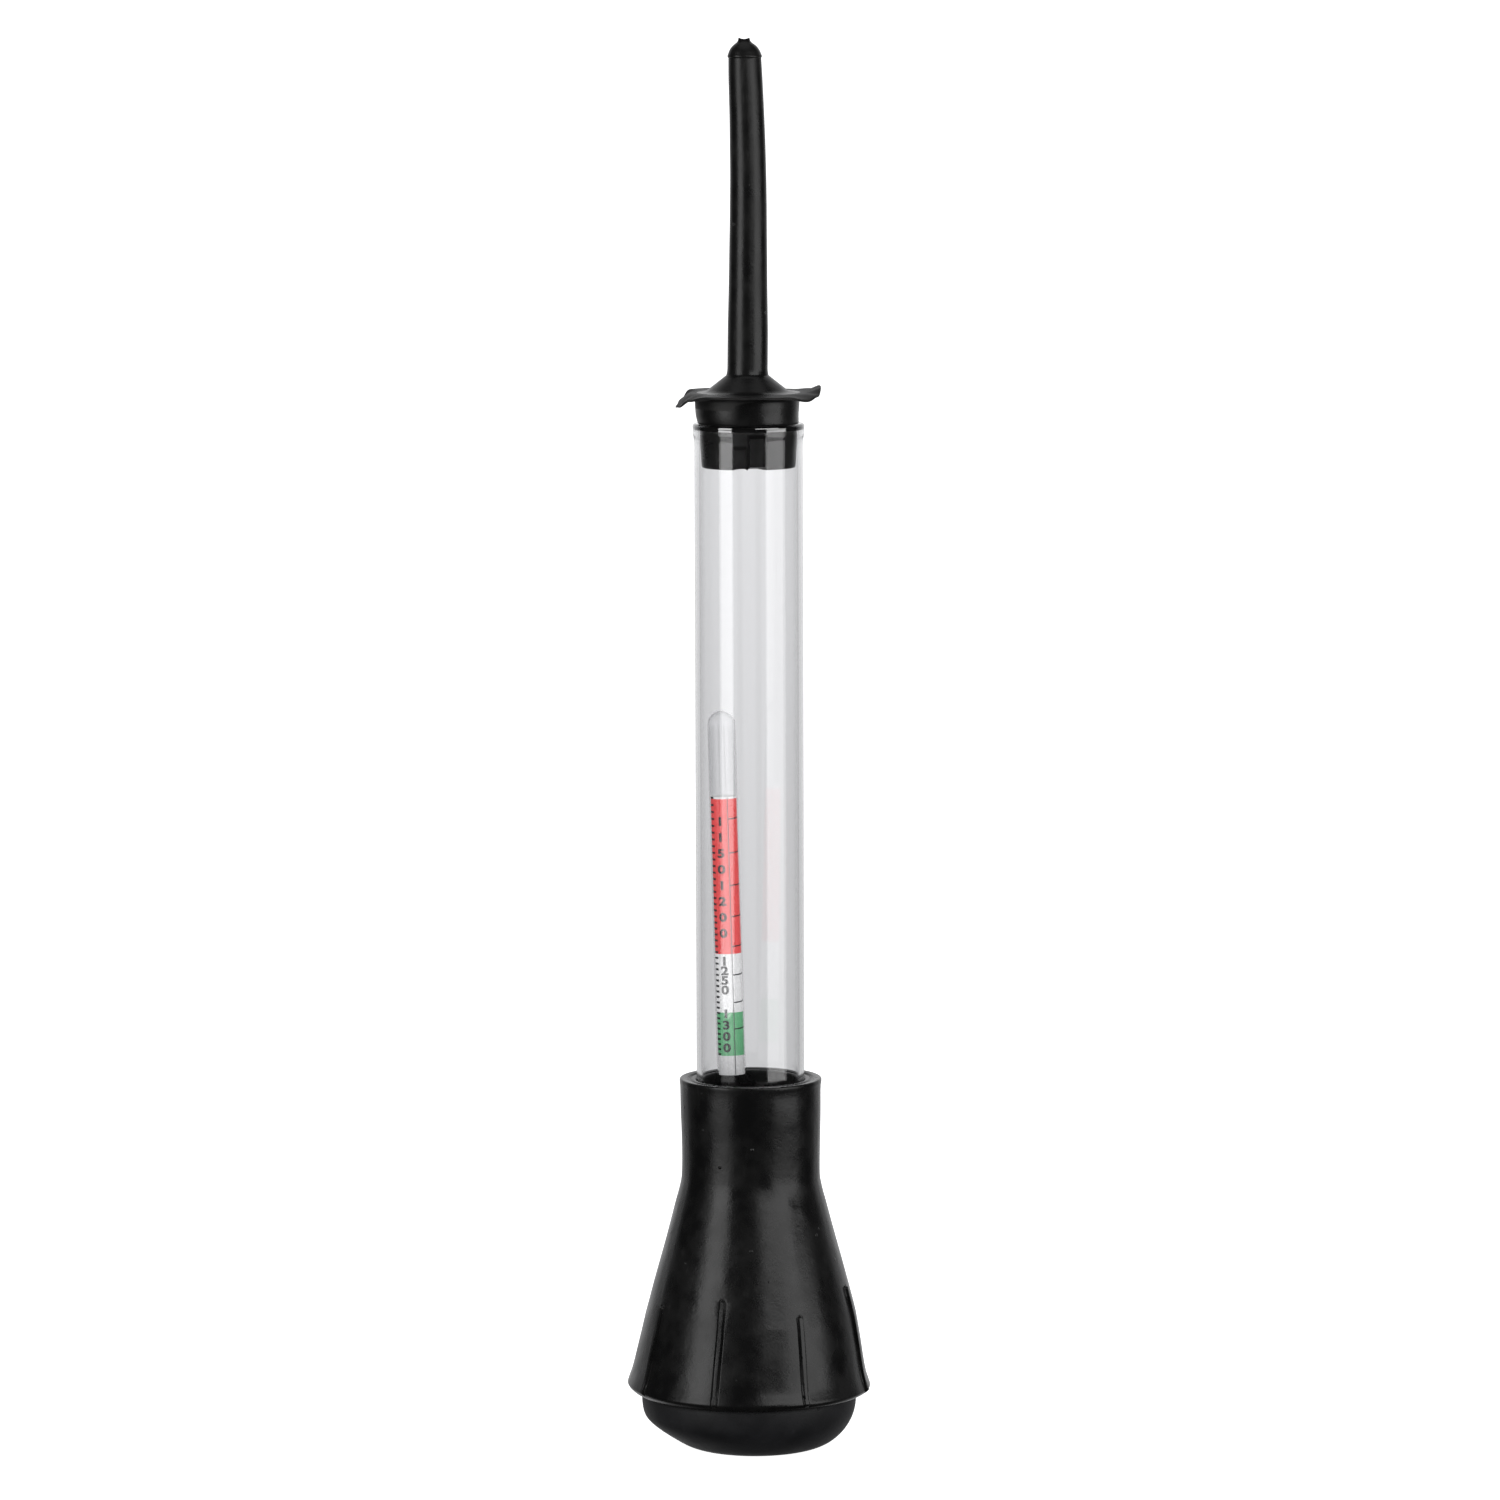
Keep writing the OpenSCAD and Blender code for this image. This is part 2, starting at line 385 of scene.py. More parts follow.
def rib_lift(radius, angle, height):
    """How far the grip ribs stand out of the skirt at a point."""
    lift = 0
    for rib_angle, top in RIBS:
        turn = (angle - math.radians(rib_angle) + math.pi) % TURN - math.pi
        across = turn * radius
        above = max(height - top + RIB_HALF_W, 0)
        reach = math.hypot(across, above)
        lift += (RIB_H + RIB_GROOVE) * smoothstep(RIB_HALF_W + 0.08, RIB_HALF_W - 0.08, reach)
        lift -= RIB_GROOVE * smoothstep(RIB_HALF_W + 0.45, RIB_HALF_W + 0.15, reach)
    return lift * smoothstep(LIP_Z - 0.9, LIP_Z + 0.2, height)


def bulb_angles():
    """Ring angles that are close together on the ribs and wider between them."""
    fine = [0.22 * i for i in range(-11, 12)]
    wide = [2.42 + 3.3 * i for i in range(1, 12)]
    return [math.radians(rib_angle + step) for rib_angle, top in RIBS for step in fine + wide]


def unevenness(place, size, amount):
    """Slow waviness of a hand-finished moulding."""
    return amount * noise.noise(place / size)


def foot_lean(height):
    return FOOT_LEAN * smoothstep(32, 13, height)


def bulb_shape(radius, angle, height):
    outer = radius > 11.5 and height > SEAM_Z + 0.3
    place = Vector((radius * math.cos(angle), radius * math.sin(angle), height))
    if outer:
        out = rib_lift(radius, angle, height) + unevenness(place, 14, 0.16)
        radius += out * smoothstep(COLLAR_Z - 0.4, COLLAR_Z - 2, height)
    lip_wave = 0.35 * smoothstep(22.5, 24.6, radius) * math.cos(angle + math.radians(12))
    return (radius * math.cos(angle) - foot_lean(height), radius * math.sin(angle), height - lip_wave)


GRIP_R = BARREL_R + 0.06
THROAT_R = BORE_R + 0.05
SEAT_Z = barrel_low.z - 0.1

COLLAR_TOP = COLLAR_Z + 0.25     # the collar stands a little above the CAD's

collar_face = curve([
    (GRIP_R + 0.02, COLLAR_TOP - 0.7), (GRIP_R + 0.1, COLLAR_TOP - 0.3),
    (GRIP_R + 0.4, COLLAR_TOP - 0.08), (GRIP_R + 0.9, COLLAR_TOP - 0.04),
    (GRIP_R + 1.25, COLLAR_TOP - 0.3), (GRIP_R + 1.65, COLLAR_TOP - 0.28), (GRIP_R + 2.0, COLLAR_TOP),
    (NECK_R - 0.2, COLLAR_TOP + 0.12), (NECK_R + 0.2, COLLAR_TOP + 0.1),
    (NECK_R + LIP_OVER + 0.08, COLLAR_TOP - 0.14),
    (NECK_R + LIP_OVER + 0.08, COLLAR_TOP - 0.6), (NECK_R + 0.28, COLLAR_TOP - 1.3)], 3)
neck_face = curve([
    (NECK_R + 0.25, COLLAR_Z - 2.4), (NECK_R + 0.2, COLLAR_Z - 6.4), (NECK_R + 0.08, COLLAR_Z - 10.5),
    (NECK_R, COLLAR_Z - 15.7), (NECK_R + 0.02, COLLAR_Z - 19.2), (NECK_R + 0.18, COLLAR_Z - 20.8),
    (NECK_R + 0.66, COLLAR_Z - 22.9), (NECK_R + 1.24, COLLAR_Z - 24.9)], 4)
cone_top = (NECK_R + 1.5, COLLAR_Z - 25.9)
cone_foot = (SKIRT_R - 3.38, LIP_Z + 15)
rib_start = Vector(cone_top).lerp(Vector(cone_foot), 0.69)
slope_face = line(cone_top, rib_start, 9)[:-1] + line(rib_start, cone_foot, 42)
ribbed_face = curve([(SKIRT_R - 3.28, LIP_Z + 14.6), (SKIRT_R - 2.08, LIP_Z + 8.8),
                     (SKIRT_R - 1.26, LIP_Z + 4.6), (SKIRT_R - 0.78, LIP_Z + 2.5),
                     (SKIRT_R - 0.36, LIP_Z + 1.2), (SKIRT_R, LIP_Z + 0.05),
                     (SKIRT_R - 0.15, LIP_Z - 0.5), (SKIRT_R - 0.6, LIP_Z - 0.95),
                     (SKIRT_R - 1.3, LIP_Z - 1.35), (DOME_R + 0.3, SEAM_Z)], 9)
inner_face = [
    (DOME_R - RUBBER_WALL, SEAM_Z), (DOME_R - RUBBER_WALL, LIP_Z + 3.6),
    (SKIRT_R - 6.2, LIP_Z + 14.6), (12.3, SEAT_Z - 6.8), (THROAT_R, SEAT_Z - 3),
    (THROAT_R, SEAT_Z), (GRIP_R, SEAT_Z + 0.05)]
bulb = piece("bulb_moulding",
             turned(collar_face + neck_face + slope_face + ribbed_face + inner_face,
                    bulb_angles(), shape=bulb_shape),
             bulb_rubber)
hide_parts("squeeze_bulb")
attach(bulb, "bulb")


# ---------------------------------------------------------------- dome

DOME_CORNER = 10
DOME_FLAT_R = 12.4
LEFT_CUT = 2.7     # how much rounder the dome is on its left


def dome_shape(radius, angle, height):
    place = Vector((radius * math.cos(angle), radius * math.sin(angle), height))
    out = unevenness(place, 12, 0.14) * smoothstep(0.2, 3, height) * smoothstep(SEAM_Z, SEAM_Z - 2, height)
    left = 0.5 - 0.5 * math.cos(angle)
    out -= LEFT_CUT * left * smoothstep(7, 1.2, height) * smoothstep(2, 13, radius)
    return ((radius + out) * math.cos(angle) - FOOT_LEAN, (radius + out) * math.sin(angle), height)


def dome_arc(inset, start, end, steps):
    """The dome's rounded corner, wider than it is high."""
    wide = DOME_R - DOME_FLAT_R - inset
    high = DOME_CORNER - inset
    round_arc = arc((0, 0), 1, start, end, steps)
    return [Vector((DOME_FLAT_R + wide * x, DOME_CORNER + high * z)) for x, z in round_arc]


dome_outline = (
    [(0, 0)] + line((3, 0), (DOME_FLAT_R - 0.5, 0), 4) + dome_arc(0, -90, 0, 26)
    + [(DOME_R, SEAM_Z - 0.25), (DOME_R - 0.2, SEAM_Z), (DOME_R - RUBBER_WALL, SEAM_Z)]
    + dome_arc(RUBBER_WALL, 0, -90, 16) + [(0, RUBBER_WALL)])
dome = piece("bulb_dome_moulding",
             turned(dome_outline, even_angles(160), closed=False, shape=dome_shape),
             dome_rubber)
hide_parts("bulb_dome")
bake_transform(dome)


# ---------------------------------------------------------------- suction tip

FLANGE_Z = RIM_Z + 6.2
SHOULDER_Z = FLANGE_Z + 4.6
TIP_LIP_Z = TIP_Z - 3.8
BORE_TUBE_R = 1.5
UNDERSIDE_DROP = 2.3     # how far below the flange its matt rubber starts
MATT_FROM_R = 10.6       # and how far out
EAR_H = 0.12             # height of the two small ears on the tip's mouth
EAR_FOOT = 0.4           # how far below the top they start
MOUTH_DROP = 0.1
FLANGE_CURL = [  # (angle, lift of the flange's edge)
    (0, 1.0), (12, 1.3), (28, 0.5), (50, 0.1), (90, 0.1), (128, 0.3), (145, 0.3), (160, -1.3), (178, -2.3),
    (198, -2.1), (214, -0.8), (235, -0.1), (270, -0.1), (305, -0.2), (328, -0.9), (345, -0.2)]
CHANNELS = [  # (first angle, last angle, depth, top below the rim) of the stopper's side channels
    (-90, -68.5, 0.95, 1.2), (-108, -93, 0.45, 3.6), (90, 111.5, 0.95, 1.2)]


def between(table, value, period=None):
    """Smoothly interpolated second column of a table at a value of its first."""
    if period:
        value %= period
        table = table + [(table[0][0] + period, table[0][1])]
    for (start, low), (end, high) in zip(table, table[1:]):
        if start <= value <= end:
            return low + (high - low) * smoothstep(start, end, value)
    return table[-1][1] if value > table[-1][0] else table[0][1]


def channel_depth(angle, height):
    depth = 0
    turn = math.degrees(angle)
    for first, last, deep, below_rim in CHANNELS:
        half = (last - first) / 2
        away = abs((turn - (first + last) / 2 + 180) % 360 - 180)
        side = smoothstep(half + 0.8, half - 0.8, away)
        top = RIM_Z - below_rim
        depth = max(depth, deep * side * smoothstep(top + 0.3, top - 0.3, height))
    return depth


def tube_bow(height):
    """Sideways offset of the tube's axis: it leans left in the barrel and bends left at its end."""
    lean = max(1 - (height - RIM_Z - 3.2) / 43, 0) ** 1.6
    bend = max((height - TIP_Z + 29) / 29, 0) ** 1.5
    return (0.1 - 0.38 * lean) * smoothstep(RIM_Z, RIM_Z + 3, height) - 0.76 * bend


def tip_shape(radius, angle, height):
    place = Vector((radius * math.cos(angle), radius * math.sin(angle), height))
    if height < RIM_Z + 1 and radius > 8.5:
        depth = channel_depth(angle, height)
        foot = smoothstep(STOPPER_FOOT + 0.5, STOPPER_FOOT, height)
        radius -= depth * (1 - foot)
        height += 0.65 * depth * foot
    elif height < FLANGE_Z + 2 and radius > 9:
        edge = smoothstep(11.2, FLANGE_R + 1.2, radius) * 1.35
        height += edge * between(FLANGE_CURL, math.degrees(angle) % 360, 360)
        radius += 0.25 * edge * noise.noise(place / 3) + 0.5 * edge * max(math.cos(angle - 0.06), 0) ** 10
    if height > RIM_Z and radius > 2:
        radius += unevenness(place, 9, 0.05)
    mouth = smoothstep(TIP_Z - EAR_FOOT, TIP_Z, height)
    if mouth > 0:
        height += EAR_H * math.cos(2 * angle) * mouth - MOUTH_DROP
    return (radius * math.cos(angle) + tube_bow(place.z), radius * math.sin(angle), height)


stopper_face = (
    [(BORE_TUBE_R + 0.3, STOPPER_FOOT), (5, STOPPER_FOOT), (8.7, STOPPER_FOOT)]
    + curve([(9.1, STOPPER_FOOT + 0.02), (9.38, STOPPER_FOOT + 0.18), (9.5, STOPPER_FOOT + 0.6)], 3)
    + curve([(9.56, STOPPER_FOOT + 1.6), (9.7, RIM_Z - 4.2), (BORE_R - 0.06, RIM_Z - 2.9),
             (BORE_R - 0.02, RIM_Z + 0.3), (BORE_R + 0.4, RIM_Z + 1.15), (10.5, FLANGE_Z - UNDERSIDE_DROP),
             (10.56, FLANGE_Z - 1.1), (10.7, FLANGE_Z - 0.4), (11.2, FLANGE_Z - 0.04)], 5))
flange_face = (
    curve([(11.9, FLANGE_Z + 0.02), (13.2, FLANGE_Z + 0.1), (FLANGE_R - 0.35, FLANGE_Z + 0.16),
           (FLANGE_R - 0.04, FLANGE_Z + 0.3), (FLANGE_R, FLANGE_Z + 0.48),
           (FLANGE_R - 0.15, FLANGE_Z + 0.68), (FLANGE_R - 0.6, FLANGE_Z + 0.74),
           (12.4, FLANGE_Z + 0.78), (10.2, FLANGE_Z + 0.84), (9.0, FLANGE_Z + 0.96)], 4))
cone_face = line((8.35, FLANGE_Z + 1.1), (4.3, SHOULDER_Z - 0.3), 7)
tube_face = curve([
    (4.21, SHOULDER_Z + 0.12), (4.12, SHOULDER_Z + 0.9), (4.1, SHOULDER_Z + 3), (4.07, SHOULDER_Z + 8),
    (3.97, SHOULDER_Z + 14.5), (3.8, SHOULDER_Z + 26.6), (3.69, SHOULDER_Z + 36.7),
    (3.6, SHOULDER_Z + 44.7), (3.5, SHOULDER_Z + 52), (3.43, SHOULDER_Z + 58.7),
    (3.33, TIP_LIP_Z - 0.9)], 6)
lip_face = curve([
    (3.31, TIP_LIP_Z - 0.4), (3.33, TIP_LIP_Z - 0.16), (3.45, TIP_LIP_Z), (3.47, TIP_LIP_Z + 0.25),
    (3.33, TIP_LIP_Z + 0.6), (3.08, TIP_LIP_Z + 1.25), (2.63, TIP_LIP_Z + 1.95), (2.06, TIP_LIP_Z + 2.5),
    (1.58, TIP_LIP_Z + 2.85), (1.28, TIP_LIP_Z + 3.2), (1.18, TIP_Z - 0.2), (1.06, TIP_Z),
    (0.78, TIP_Z - 0.08), (0.66, TIP_Z - 0.35)], 3)
bore_face = ([(0.65, TIP_Z - 1.4), (0.65, TIP_LIP_Z + 1.6), (BORE_TUBE_R - 0.2, TIP_LIP_Z + 1)]
             + line((BORE_TUBE_R, TIP_LIP_Z), (BORE_TUBE_R, STOPPER_FOOT + 0.4), 24))
tip = piece("suction_tip_moulding",
            turned(stopper_face + flange_face + cone_face + tube_face + lip_face + bore_face,
                   even_angles(240), shape=tip_shape),
            tip_rubber)
tip.data.materials.append(flange_rubber)
for polygon in tip.data.polygons:
    centre = polygon.center / MM
    if math.hypot(centre.x, centre.y) > MATT_FROM_R and centre.z > FLANGE_Z - UNDERSIDE_DROP:
        polygon.material_index = 1
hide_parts("suction_tip")
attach(tip, "tip")


# ---------------------------------------------------------------- glass barrel

BEAD_R = 0.66
BEAD_LIFT = 0.9     # how far the bead stands above the CAD's rim
RIM_PAINTED_SHADE_DROP = 0.6     # how far below the bead's centre its painted-dark glass reaches; the dark tint is painted shade, for the black stopper seen through the bead
RIM_LINE_DROP = 1.0      # and the pale ring under it
bead_centre = (RIM_R - BEAD_R, RIM_Z - BEAD_R + BEAD_LIFT)
barrel_outline = (
    [(BORE_R + 0.12, barrel_low.z), (BARREL_R - 0.12, barrel_low.z), (BARREL_R, barrel_low.z + 0.12)]
    + line((BARREL_R, barrel_low.z + 1), (BARREL_R, RIM_Z - 4.2), 40)
    + curve([(BARREL_R + 0.02, RIM_Z - 3.4), (BARREL_R + 0.1, RIM_Z - 2.3), (RIM_R - 0.09, RIM_Z - 1.3),
             (RIM_R - 0.03, RIM_Z - 0.35)], 5)
    + arc(bead_centre, BEAD_R, -20, 185, 20)
    + curve([(BORE_R + 0.08, RIM_Z - 1.3), (BORE_R + 0.05, RIM_Z - 2.3), (BORE_R, RIM_Z - 3.2)], 5)
    + line((BORE_R, RIM_Z - 4.2), (BORE_R, barrel_low.z + 0.12), 40))
barrel = piece("barrel_tube", turned(barrel_outline, even_angles(192)), barrel_glass)
barrel.data.materials.append(rim_painted_shade_glass)
barrel.data.materials.append(rim_line)
for polygon in barrel.data.polygons:
    centre = polygon.center / MM
    above_bead = centre.z - bead_centre[1]
    # The bead's top takes the near-black glass: painted shade along the rim.
    if above_bead > -RIM_PAINTED_SHADE_DROP:
        polygon.material_index = 1
    elif above_bead > -RIM_LINE_DROP and math.hypot(centre.x, centre.y) > bead_centre[0]:
        polygon.material_index = 2
barrel.visible_shadow = False
barrel.visible_diffuse = False
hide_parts("glass_barrel")
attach(barrel, "barrel")


# ---------------------------------------------------------------- float

along_float = (Matrix.Rotation(FLOAT_LEAN_DIR, 4, "Z")
               @ Matrix.Translation((FLOAT_FOOT_OFFSET, 0, FLOAT_FOOT_Z))
               @ Matrix.Rotation(FLOAT_LEAN, 4, "Y"))


def float_outline(body_inset, stem_inset):
    """Outline of the float's envelope, body below and stem above, from pole to pole."""
    body = BODY_R - body_inset
    stem = STEM_R - stem_inset
    return (
        [(0, body_inset)] + arc((0, BODY_R), body, -84, 0, 12)
        + line((body, 9), (body, 54), 6)
        + curve([(body, 55.6), (body - 0.12, 56.8), (body - 0.55, 58.8), (stem + 0.6, 61.2),
                 (stem + 0.15, 63), (stem, 65)], 4)
        + line((stem, 68), (stem, FLOAT_L - STEM_R - 1.5), 20)
        + arc((0, FLOAT_L - STEM_R - stem_inset), stem, 0, 84, 12) + [(0, FLOAT_L - 2 * stem_inset)])


envelope_mesh = join([
    turned(float_outline(0, 0), even_angles(96), closed=False),
    turned(float_outline(BODY_WALL, STEM_WALL), even_angles(96), closed=False, inside_out=True)])
envelope_mesh.transform(along_float)
envelope = piece("float_envelope", envelope_mesh, stem_glass)
envelope.visible_shadow = False
envelope.visible_diffuse = False
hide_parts("float_glass")
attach(envelope, "float")


# ---------------------------------------------------------------- paper scale

PAPER_R = 2.77
PAPER_T = 0.13
PAPER_FOOT = 73.9
PAPER_TOP = 130.9
RED_TOP = 130.5
RED_FOOT = 98.8
GREEN_TOP = 86.8
GREEN_FOOT = 77.9
SEAM_AZ = math.radians(16)        # where the sheet's outer edge lies, right of the viewer's line
SEAM_LAP = math.radians(14)
VIEWER = math.radians(-90) - FLOAT_LEAN_DIR   # the viewer's direction in the float's own frame


def sheet_point(wound, height, lift):
    """Point on the rolled sheet, wound on from its outer edge, at a height up the float."""
    radius = PAPER_R - PAPER_T * wound / TURN + lift
    angle = VIEWER + SEAM_AZ + wound
    return Vector((radius * math.cos(angle), radius * math.sin(angle), height))


def paper_place(az, height, lift):
    """Point on the outside of the rolled sheet. az runs right from the viewer's line."""
    return sheet_point((az - SEAM_AZ) % TURN, height, lift)


def rolled_sheet():
    """The rolled paper, a closed spiral strip, with a material number for each band."""
    sheet = bmesh.new()
    turns = 120
    edges = [PAPER_FOOT, GREEN_FOOT, GREEN_TOP, RED_FOOT, RED_TOP, PAPER_TOP]
    levels = sorted({low + (high - low) * i / 8 for low, high in zip(edges, edges[1:]) for i in range(9)})
    layers = []
    for thick in (0, PAPER_T * 0.8):
        rows = []
        for height in levels:
            row = []
            for i in range(turns + 1):
                wound = (TURN + SEAM_LAP) * i / turns
                row.append(sheet.verts.new(sheet_point(wound, height, -thick)))
            rows.append(row)
        layers.append(rows)
    outer, inner = layers
    # Material 3, below the green band, is the paper painted darker as shade at the scale's foot.
    bands = [(GREEN_FOOT, 3), (GREEN_TOP, 2), (RED_FOOT, 0), (RED_TOP, 1), (PAPER_TOP, 0)]

    def ink(height):
        return next(number for top, number in bands if height < top)

    last = len(levels) - 1
    for j in range(last):
        number = ink((levels[j] + levels[j + 1]) / 2)
        for i in range(turns):
            front = sheet.faces.new((outer[j][i], outer[j][i + 1], outer[j + 1][i + 1], outer[j + 1][i]))
            front.material_index = number
            sheet.faces.new((inner[j][i + 1], inner[j][i], inner[j + 1][i], inner[j + 1][i + 1]))
        for i in (0, turns):
            sheet.faces.new((outer[j][i], outer[j + 1][i], inner[j + 1][i], inner[j][i]))
    for i in range(turns):
        for j in (0, last):
            sheet.faces.new((outer[j][i], outer[j][i + 1], inner[j][i + 1], inner[j][i]))
    bmesh.ops.recalc_face_normals(sheet, faces=sheet.faces)
    return sheet


scale_mesh = rolled_sheet()
scale_mesh.transform(along_float)
scale = piece("scale_roll", scale_mesh, paper_white)
scale.data.materials.append(paper_red)
scale.data.materials.append(paper_green)
scale.data.materials.append(paper_foot_painted_shade)
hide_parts("float_scale")
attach(scale, "float")


# ---------------------------------------------------------------- print on the scale

INK_T = 0.012
DIGIT_STRETCH = 1.35
BEND_CUTS = 6            # upright cuts on each side of a numeral's middle, so that it bends with the paper
BEND_CUT_STEP = 0.09
DENSITY_LOW, DENSITY_HIGH = 1.125, 1.300
LOW_MARK, HIGH_MARK = 126.4, 83.4     # heights of the first and the last main mark up the float


def mark_height(density):
    """Height of a density's mark: the float sinks in proportion to one over the density."""
    share = (1 / DENSITY_LOW - 1 / density) / (1 / DENSITY_LOW - 1 / DENSITY_HIGH)
    return LOW_MARK + (HIGH_MARK - LOW_MARK) * share


def printed_line(start_az, end_az, height, width, rise=0.0, steps=8):
    """A thin bar of ink that follows the paper round, angles in degrees."""
    bar = bmesh.new()
    sections = []
    for i in range(steps + 1):
        az = math.radians(start_az + (end_az - start_az) * i / steps)
        middle = height + rise * i / steps
        corners = ((-width / 2, 0.002), (width / 2, 0.002), (width / 2, INK_T), (-width / 2, INK_T))
        sections.append([bar.verts.new(paper_place(az, middle + up, lift)) for up, lift in corners])
    for section, following in zip(sections, sections[1:]):
        for i in range(4):
            j = (i + 1) % 4
            bar.faces.new((section[i], section[j], following[j], following[i]))
    bar.faces.new(sections[0])
    bar.faces.new(sections[-1])
    bmesh.ops.recalc_face_normals(bar, faces=bar.faces)
    return bar


def painted_edge_shadow(az, width):
    """A thin dark line of ink up the whole height of the sheet, beside its outer edge: painted shadow of the
    sheet's lapped edge, not a printed line.
    """
    half = math.degrees(width / 2 / PAPER_R)
    middle = (PAPER_FOOT + PAPER_TOP) / 2
    return printed_line(az - half, az + half, middle, PAPER_TOP - PAPER_FOOT - 0.2, steps=1)


def printed_digit(digit, az, height, size):
    """A numeral wrapped on the paper, upright, centred at a place."""
    letter = bpy.data.curves.new("numeral", "FONT")
    letter.body = digit
    letter.align_x = "CENTER"
    letter.size = size
    letter.offset = 0.04 * size
    letter.extrude = INK_T / 2
    letter.resolution_u = 4
    holder = bpy.data.objects.new("numeral", letter)
    bpy.context.scene.collection.objects.link(holder)
    bpy.context.view_layer.update()
    data = bpy.data.meshes.new_from_object(holder.evaluated_get(bpy.context.evaluated_depsgraph_get()))
    shape = bmesh.new()
    shape.from_mesh(data)
    bpy.data.objects.remove(holder)
    bpy.data.curves.remove(letter)
    bpy.data.meshes.remove(data)
    bmesh.ops.remove_doubles(shape, verts=shape.verts, dist=1e-5)
    for i in range(-BEND_CUTS, BEND_CUTS + 1):
        bmesh.ops.bisect_plane(shape, geom=shape.verts[:] + shape.edges[:] + shape.faces[:], dist=1e-6,
                               plane_co=(BEND_CUT_STEP * i + 0.01, 0, 0), plane_no=(1, 0, 0))
    bmesh.ops.triangulate(shape, faces=shape.faces)
    for vert in shape.verts:
        across, up, out = vert.co
        across *= DIGIT_STRETCH
        vert.co = paper_place(az + across / PAPER_R, height + up - 0.36 * size, INK_T / 2 + out + 0.002)
    bmesh.ops.recalc_face_normals(shape, faces=shape.faces)
    return shape


MARK_STEP = 0.005
MARKS_ABOVE, MARKS_BELOW = 3, 5       # marks beyond the first and the last main mark
BAR_START, BAR_END = -104, -46        # angles between which each mark's bar lies
LINE_START, LINE_BEND, LINE_END = 17, 60, 88     # a main mark's line, which bends up at its far end
mark_count = round((DENSITY_HIGH - DENSITY_LOW) / MARK_STEP)
print_parts = []
for i in range(-MARKS_ABOVE, mark_count + MARKS_BELOW + 1):
    height = mark_height(DENSITY_LOW + i * MARK_STEP)
    print_parts.append(printed_line(BAR_START, BAR_END, height, 0.42))
    if i % 5 == 0 and 0 <= i <= mark_count:
        print_parts.append(printed_line(LINE_START, LINE_BEND, height, 0.26, rise=0.1))
        print_parts.append(printed_line(LINE_BEND, LINE_END, height + 0.1, 0.3, rise=0.35))
# Painted shadow: a dark line of ink where the sheet's outer edge laps over the roll.
print_parts.append(painted_edge_shadow(18, 0.13))
NUMERALS = [  # (digits from the top down, height of the first, spacing)
    ("11501200", 126.0, 3.27), ("1250", 97.4, 1.97), ("1300", 86.6, 2.33)]
NUMERAL_AZ = math.radians(-16)
NUMERAL_SIZE = 2.4
for digits, first_height, spacing in NUMERALS:
    for i, digit in enumerate(digits):
        print_parts.append(printed_digit(digit, NUMERAL_AZ, first_height - i * spacing, NUMERAL_SIZE))
print_mesh = join(print_parts)
print_mesh.transform(along_float)
marks = piece("scale_print", print_mesh, black_ink)
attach(marks, "float")


# ---------------------------------------------------------------- pieces kept from the CAD model

for node, material in (("ballast_shot", lead), ("ballast_seal", resin)):
    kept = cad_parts[node]
    kept.data.materials.clear()
    kept.data.materials.append(material)


# ---------------------------------------------------------------- floor, light and camera

scene = bpy.context.scene
scene.view_settings.view_transform = "Standard"

FLOOR_SIDE = 60
half = FLOOR_SIDE / 2
floor_corners = [(-half, -half, 0), (half, -half, 0), (half, half, 0), (-half, half, 0)]
floor_data = bpy.data.meshes.new("floor")
floor_data.from_pydata(floor_corners, [], [(0, 1, 2, 3)])
floor = bpy.data.objects.new("floor", floor_data)
scene.collection.objects.link(floor)
floor_paint, floor_nodes, floor_shader, floor_link = shader(
    "floor_paint", Roughness=0.9, Specular_IOR_Level=0.0, Emission_Strength=1.0)
floor_shader.inputs["Emission Color"].default_value = (1, 1, 1, 1)
floor_link(mixed(floor_nodes, floor_link, noise_texture(floor_nodes, floor_link, 2, 2),
                 (0.8, 0.8, 0.8), (0.84, 0.84, 0.84)), floor_shader.inputs["Base Color"])
floor_data.materials.append(floor_paint)
floor.visible_glossy = False
floor.visible_diffuse = False
floor.visible_transmission = False
floor.visible_shadow = False


def dim_in_glass(lamp_data, share):
    """Dims a lamp where the far wall of a glass tube mirrors it, and hides it straight through two walls.

    share is how much of its strength the mirrored lamp keeps.
    """
    lamp_data.use_nodes = True
    nodes, link = lamp_data.node_tree.nodes, lamp_data.node_tree.links.new
    path = nodes.new("ShaderNodeLightPath")
    deep = ranged(nodes, link, path.outputs["Transmission Depth"], 2, 3, 0, 1)
    mirrored = ranged(nodes, link, path.outputs["Glossy Depth"], 0, 1, 0, 1 - share)
    bounces = maths(nodes, link, "ADD", path.outputs["Glossy Depth"], path.outputs["Diffuse Depth"])
    straight = ranged(nodes, link, bounces, 0, 1, 1, 0)
    hidden = maths(nodes, link, "MULTIPLY", deep, maths(nodes, link, "MAXIMUM", mirrored, straight))
    link(maths(nodes, link, "SUBTRACT", 1, hidden), nodes["Emission"].inputs["Strength"])


SOFTBOX_DISTANCE = 1.0
MIRRORED_SHARE = 0.1


def softbox(name, from_az, to_az, low, high, radiance):
    """A soft light seen from the barrel between two angles right of the viewer's line and two heights."""
    data = bpy.data.lights.new(name, "AREA")
    data.shape = "RECTANGLE"
    data.size = 2 * SOFTBOX_DISTANCE * math.tan(math.radians(to_az - from_az) / 2)
    data.size_y = high - low
    data.energy = radiance * math.pi * data.size * data.size_y
    dim_in_glass(data, MIRRORED_SHARE)
    lamp = bpy.data.objects.new(name, data)
    turn = math.radians((from_az + to_az) / 2)
    lamp.location = (SOFTBOX_DISTANCE * math.sin(turn), -SOFTBOX_DISTANCE * math.cos(turn), (low + high) / 2)
    lamp.rotation_euler = (math.radians(90), 0, turn)
    scene.collection.objects.link(lamp)


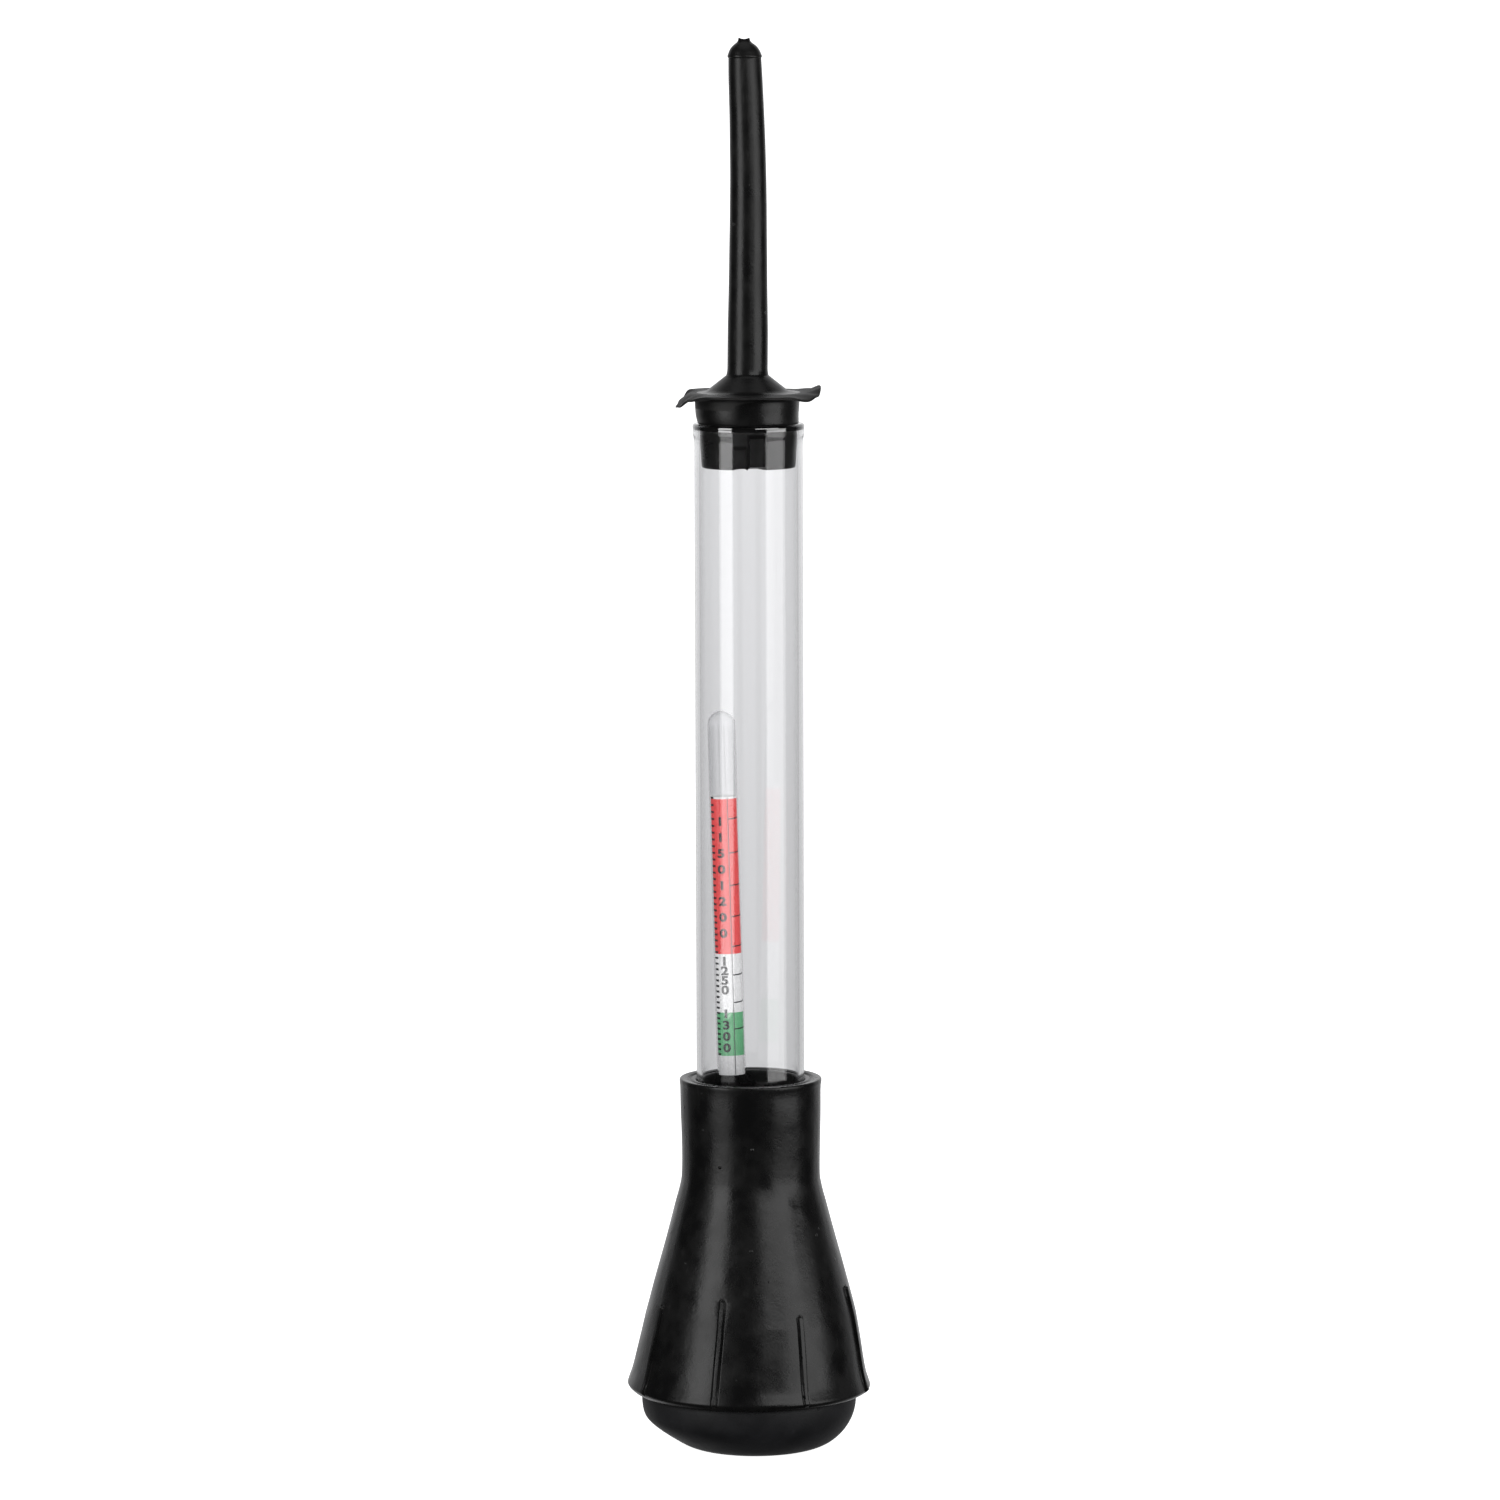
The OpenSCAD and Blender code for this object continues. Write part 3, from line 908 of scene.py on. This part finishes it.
softbox("left_softbox", -65, -35.5, -0.06, 0.8, 3.0)
softbox("left_low", -65, -35.5, -0.4, -0.06, 0.7)
softbox("right_softbox", 38, 83, -0.12, 0.3, 2.2)
softbox("right_overhead", 14, 66, 0.3, 0.8, 2.4)
overhead = bpy.data.lights.new("overhead", "SUN")
overhead.energy = 0.3
overhead.angle = math.radians(60)
dim_in_glass(overhead, 0)
scene.collection.objects.link(bpy.data.objects.new("overhead", overhead))


FRONT_FILL = 0.3     # light that matt faces get from all round
INSIDE_FILL = 1.25   # the same behind two walls of glass, where the softboxes are hidden and give no light


def studio_world():
    """A pale room: white where the camera looks past the object or through its glass.

    Behind the object it is white, and in front of it dark, so that the softboxes stand out as reflections.
    """
    world = bpy.data.worlds.new("studio")
    world.use_nodes = True
    nodes, link = world.node_tree.nodes, world.node_tree.links.new
    background = nodes["Background"]
    background.inputs["Color"].default_value = (0.985, 0.988, 1, 1)
    direction = nodes.new("ShaderNodeTexCoord")
    split = nodes.new("ShaderNodeSeparateXYZ")
    link(direction.outputs["Generated"], split.inputs["Vector"])
    path = nodes.new("ShaderNodeLightPath")

    def product(*values):
        total = values[0]
        for value in values[1:]:
            total = maths(nodes, link, "MULTIPLY", total, value)
        return total

    # dark stripes up the walls, half way between the eight main directions, draw the glass's edges
    round_turns = maths(nodes, link, "MULTIPLY",
                        maths(nodes, link, "ARCTAN2", split.outputs["X"], split.outputs["Y"]), 8)
    stripes = ranged(nodes, link, maths(nodes, link, "COSINE", round_turns, 0), -0.9, -0.2, 0.1, 1)
    # light that a wall of glass mirrors comes only from about level with the object
    level = maths(nodes, link, "ABSOLUTE", maths(nodes, link, "ADD", split.outputs["Z"], 0.12), 0)
    unmirrored = ranged(nodes, link, path.outputs["Glossy Depth"], 0, 1, 1, 0)
    ahead = maths(nodes, link, "ABSOLUTE", split.outputs["Y"], 0)
    mirrored = product(ranged(nodes, link, level, 0.08, 0.25, 1, 0.1),
                       ranged(nodes, link, ahead, 0.3, 0.85, 0.1, 1))
    kept = maths(nodes, link, "MAXIMUM", unmirrored, mirrored)
    through = product(ranged(nodes, link, path.outputs["Transmission Depth"], 2, 3, 0, 1), kept, stripes)
    in_glass = product(path.outputs["Is Transmission Ray"],
                       ranged(nodes, link, split.outputs["Y"], 0.3, 0.85, 0, 1), kept, stripes)
    behind = ranged(nodes, link, split.outputs["Y"], 0.45, 1.0, 0, 1.1)
    bright = maths(nodes, link, "MAXIMUM", behind, maths(nodes, link, "MAXIMUM", in_glass, through))
    pale = maths(nodes, link, "MAXIMUM", ranged(nodes, link, split.outputs["Z"], -0.17, -0.05, 0.66, 0.92),
                 ranged(nodes, link, split.outputs["Z"], -0.32, -0.2, 0.95, 0.66))
    fill = ranged(nodes, link, path.outputs["Transmission Depth"], 2, 3, FRONT_FILL, INSIDE_FILL)
    on_matt = maths(nodes, link, "MULTIPLY", path.outputs["Is Diffuse Ray"], fill)
    lit = maths(nodes, link, "MAXIMUM", product(pale, bright), maths(nodes, link, "ADD", on_matt, 0.02))
    white = maths(nodes, link, "MULTIPLY", path.outputs["Is Camera Ray"], 1.03)
    link(maths(nodes, link, "MAXIMUM", lit, white), background.inputs["Strength"])
    return world


scene.world = studio_world()

CAMERA_DISTANCE = 1.5
CAMERA_ELEVATION = math.radians(6.5)
CAMERA_ROLL = math.radians(-0.18)
AIM = Vector((0.0001, 0, 0.1432))
camera_data = bpy.data.cameras.new("camera")
camera_data.sensor_width = 36
camera_data.lens = 177.5
camera = bpy.data.objects.new("camera", camera_data)
towards_camera = Vector((0, -math.cos(CAMERA_ELEVATION), math.sin(CAMERA_ELEVATION)))
camera.location = AIM + CAMERA_DISTANCE * towards_camera
camera.rotation_euler = (Matrix.Rotation(math.pi / 2 - CAMERA_ELEVATION, 3, "X")
                         @ Matrix.Rotation(CAMERA_ROLL, 3, "Z")).to_euler()
scene.collection.objects.link(camera)
scene.camera = camera
